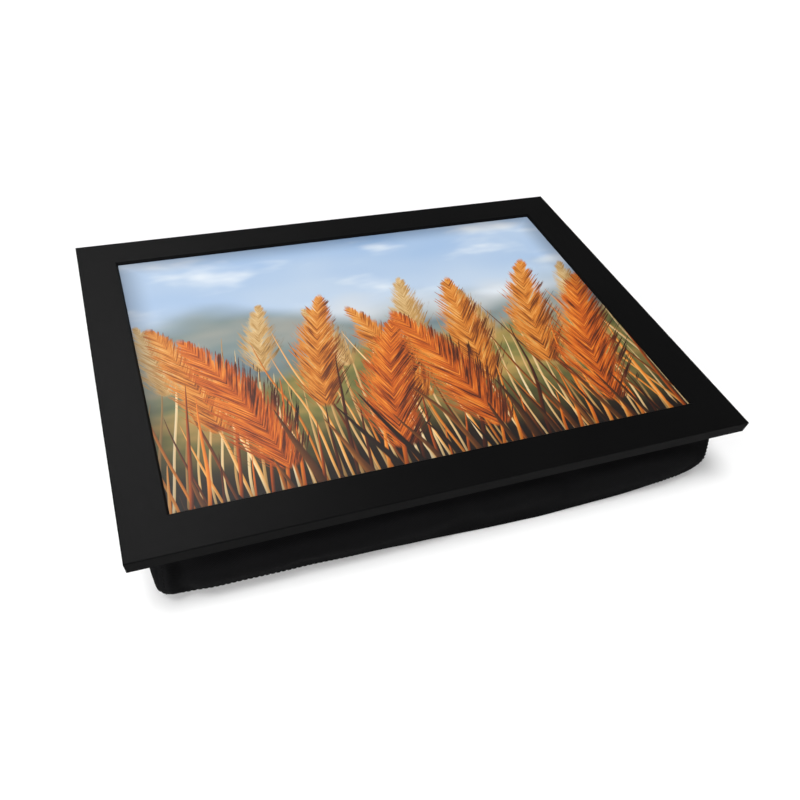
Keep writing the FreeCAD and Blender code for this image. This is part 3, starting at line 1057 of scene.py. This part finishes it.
# %% Plackets
zip_middle = (zip_low.z + zip_high.z) / 2
placket_inner, placket_width, placket_rise = 4.8 * mm, 6.0 * mm, 0.9 * mm
placket_overrun = 5 * mm
placket_steps, placket_sides = 90, 14
placket_squareness, end_squareness, end_left = 0.6, 40, 0.02
long_wave, short_wave = 0.12 * mm, 0.08 * mm


def make_placket(name, side):
    """A folded strip of cloth above (1) or below (-1) the teeth, swept along the zip."""
    turn = np.linspace(0, 2 * math.pi, placket_sides, endpoint=False)
    across_strip = np.sign(np.cos(turn)) * np.abs(np.cos(turn)) ** placket_squareness
    reach = zip_high.x + placket_overrun
    points = []
    for x in np.linspace(-reach, reach, placket_steps + 1):
        end = np.sqrt(np.clip(1 - (np.abs(x) / reach) ** end_squareness, end_left, 1))
        wave = long_wave * math.sin(x * 210) + short_wave * math.sin(x * 530 + 1)
        z = zip_middle + side * (placket_inner + placket_width / 2 * (1 - across_strip * end)) + wave
        y = back_face + placket_rise * (0.15 + 0.85 * np.sin(turn) * end)
        points += [(x, b, c) for b, c in zip(y, z)]
    faces = []
    for first in range(0, placket_steps * placket_sides, placket_sides):
        for n in range(placket_sides):
            a, b = first + n, first + (n + 1) % placket_sides
            faces.append([a, b, b + placket_sides, a + placket_sides])
    faces.append(list(range(placket_sides))[::-1])
    faces.append([placket_steps * placket_sides + n for n in range(placket_sides)])
    outwards = faces if side > 0 else [face[::-1] for face in faces]
    piece = make_mesh(name, points, outwards, tape_cloth)
    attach(piece, "cushion")
    print(name + ":", len(faces), "faces")


make_placket("zip_placket_upper", 1)
make_placket("zip_placket_lower", -1)

# %% Stitch the plackets
zip_pitch, zip_stitch = 3.0 * mm, 2.3 * mm
sewn_at, sewn_rise = 0.62, 1.02
path_points = 40

sewing_runs = []
for side in (1, -1):
    z = zip_middle + side * (placket_inner + placket_width * sewn_at)
    y = back_face + placket_rise * sewn_rise
    sewing_runs.append(([(x, y, z) for x in np.linspace(-zip_high.x, zip_high.x, path_points)], False))
zip_stitches = run_nodes("zip_stitches", path_mesh("zip_paths", sewing_runs), stitch_tree, Pitch=zip_pitch,
                         Stitch_Length=zip_stitch, Thread=thread, Material=thread_cloth)
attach(zip_stitches, "cushion")

# %% Zip teeth
coil_low, coil_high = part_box("zip_coil")
tooth_pitch, tooth_thickness, tooth_length = 1.5 * mm, 0.95 * mm, 2.3 * mm
tooth_slant = math.radians(14)
row_offset = 0.85 * mm
tooth_count = int((coil_high.x - coil_low.x - tooth_pitch) / tooth_pitch)
first_tooth = Vector((coil_low.x + tooth_pitch * 0.75, coil_high.y - tooth_thickness * 0.5, zip_middle))
zip_plastic = make_grained("black_zip_plastic", (1.0, 1.0, 1.0), 1200.0, shade(20, 20, 21),
                           shade(30, 30, 31), 0.3, 0.48, specular=0.4)

teeth_tree, bench, given, result = shape_tree("coil teeth")
bar = bench.out("GeometryNodeMeshCylinder", Vertices=8, Radius=tooth_thickness / 2, Depth=tooth_length)
tooth_rows = []
for side, shift in ((1, 0.0), (-1, 0.5)):
    start = first_tooth + Vector((tooth_pitch * shift, 0, row_offset * side))
    line = bench.out("GeometryNodeMeshLine", Count=tooth_count, Start_Location=start,
                     Offset=(tooth_pitch, 0, 0))
    lean = bench.join(0.0, tooth_slant * side, 0.0)
    tooth_rows.append(bench.out("GeometryNodeInstanceOnPoints", Points=line, Instance=bar, Rotation=lean))
finish_tree(bench, given, result, bench.gather(tooth_rows))
teeth = run_nodes("zip_teeth", path_mesh("teeth_seed", [([first_tooth], False)]), teeth_tree,
                  Material=zip_plastic)
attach(teeth, "cushion")
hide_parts("zip_coil")

# %% [markdown]
# The slider, its pull tab and the end stops are die-cast metal with a thin black paint that wears
# bright where fingers and cloth rub it. Their solids are right as they are. The wear is a mask of
# fine noise in the paint that shows a little bare metal, so the same nodes drive colour, metal and
# roughness together.

# %% Painted zip metal
material, bench, shader = new_material("black_zip_metal")
place = bench.place()
paint = bench.group(grain, Place=place, Stretch=(0.4, 1.0, 1.0), Fineness=1600.0)["Height"]
rubbed = bench.step(paint * 0.6 + bench.noise(place, 420.0, 3.0), 0.94, 1.2)
bench.fill(shader, Base_Color=bench.blend(rubbed, shade(26, 26, 27), shade(128, 128, 130)),
           Metallic=rubbed, Roughness=bench.spread(paint, 0.3, 1.0, 0.3, 0.46))
dress(material, "zip_slider", "zip_pull", "zip_end_stops")
print("zip metal painted")

# %% [markdown]
# ## Hook and loop tapes
# Four pairs of patches hold the tray on the cushion: stiff little hooks under the board, soft loops
# on the cushion. Each patch is a thin rounded strip with a field of bent bristles. One tree makes
# both kinds: it fills a rounded rectangle, stands an arc of thin tube on every point of a grid,
# turns each by a seeded random angle, and puts the whole patch at each corner's place. Hooks are
# arcs that stop short, and loops come back down to the tape.

# %% Tape patch tree
patch_round, bristle_pitch, bristle_wire = 3 * mm, 1.9 * mm, 0.11 * mm
bristle_seed = 4

patch_tree, bench, given, result = shape_tree("bristle patch", "Length", "Width", "Base", "Pile", "Arc",
                                              "Random Turn", "Face Down")
outline = bench.out("GeometryNodeCurvePrimitiveQuadrilateral", Width=given["Length"], Height=given["Width"])
rounded = bench.out("GeometryNodeFilletCurve", {"mode": "POLY"}, Curve=outline, Count=5, Radius=patch_round)
sheet = bench.out("GeometryNodeFillCurve", {"mode": "NGONS"}, Curve=rounded)
risen = bench.out("GeometryNodeExtrudeMesh", Mesh=sheet, Offset=bench.join(0.0, 0.0, 1.0),
                  Offset_Scale=given["Base"], Individual=False)
under = bench.out("GeometryNodeFlipFaces", Mesh=sheet)

size_x, size_y = given["Length"] - bristle_pitch, given["Width"] - bristle_pitch
grid = bench.out("GeometryNodeMeshGrid", Size_X=size_x, Size_Y=size_y, Vertices_X=size_x / bristle_pitch,
                 Vertices_Y=size_y / bristle_pitch)
arc = bench.out("GeometryNodeCurveArc", Resolution=6, Radius=given["Pile"] - bristle_wire, Start_Angle=0.0,
                Sweep_Angle=given["Arc"])
section = bench.out("GeometryNodeCurvePrimitiveCircle", Resolution=3, Radius=bristle_wire)
tube = bench.out("GeometryNodeCurveToMesh", Curve=arc, Profile_Curve=section, Fill_Caps=True)
bristle = bench.out("GeometryNodeTransform", Geometry=tube, Rotation=(math.pi / 2, 0.0, 0.0))
dice = bench.add("FunctionNodeRandomValue", {"data_type": "FLOAT"}, Seed=bristle_seed)
angle = Wire(dice.outputs[1]) * given["Random Turn"]
field = bench.out("GeometryNodeInstanceOnPoints", Points=grid, Instance=bristle,
                  Rotation=bench.join(0.0, 0.0, angle))
pile = bench.out("GeometryNodeTransform", Geometry=field, Translation=bench.join(0.0, 0.0, given["Base"]))

patch = bench.gather((risen, under, pile))
flip = bench.join(given["Face Down"] * math.pi, 0.0, 0.0)
placed = bench.out("GeometryNodeInstanceOnPoints", Points=given["Geometry"], Instance=patch, Rotation=flip)
finish_tree(bench, given, result, placed)
print("patch tree:", len(patch_tree.nodes), "nodes")

# %% Hook and loop patches
patch_corners = ("front_left", "front_right", "back_left", "back_right")
tape_share, pile_share = 0.45, 0.5


def make_patches(name, kind, body, face_down, arc, random_turn):
    replaced = [kind + "_patch_" + corner for corner in patch_corners]
    boxes = [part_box(node) for node in replaced]
    low, high = boxes[0]
    level_z = high.z if face_down else low.z
    centres = [Vector(((a.x + b.x) / 2, (a.y + b.y) / 2, level_z)) for a, b in boxes]
    thickness = high.z - low.z
    places = path_mesh(name + "_places", [([centre], False) for centre in centres])
    piece = run_nodes(name, places, patch_tree, Length=high.x - low.x, Width=high.y - low.y,
                      Base=thickness * tape_share, Pile=thickness * pile_share, Arc=arc,
                      Random_Turn=random_turn, Face_Down=face_down, Material=pile_cloth)
    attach(piece, body)
    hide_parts(*replaced)


make_patches("hook_patches", "hook", "tray", face_down=1.0, arc=math.radians(140),
             random_turn=math.pi)
make_patches("loop_patches", "loop", "cushion", face_down=0.0, arc=math.radians(180),
             random_turn=2 * math.pi)
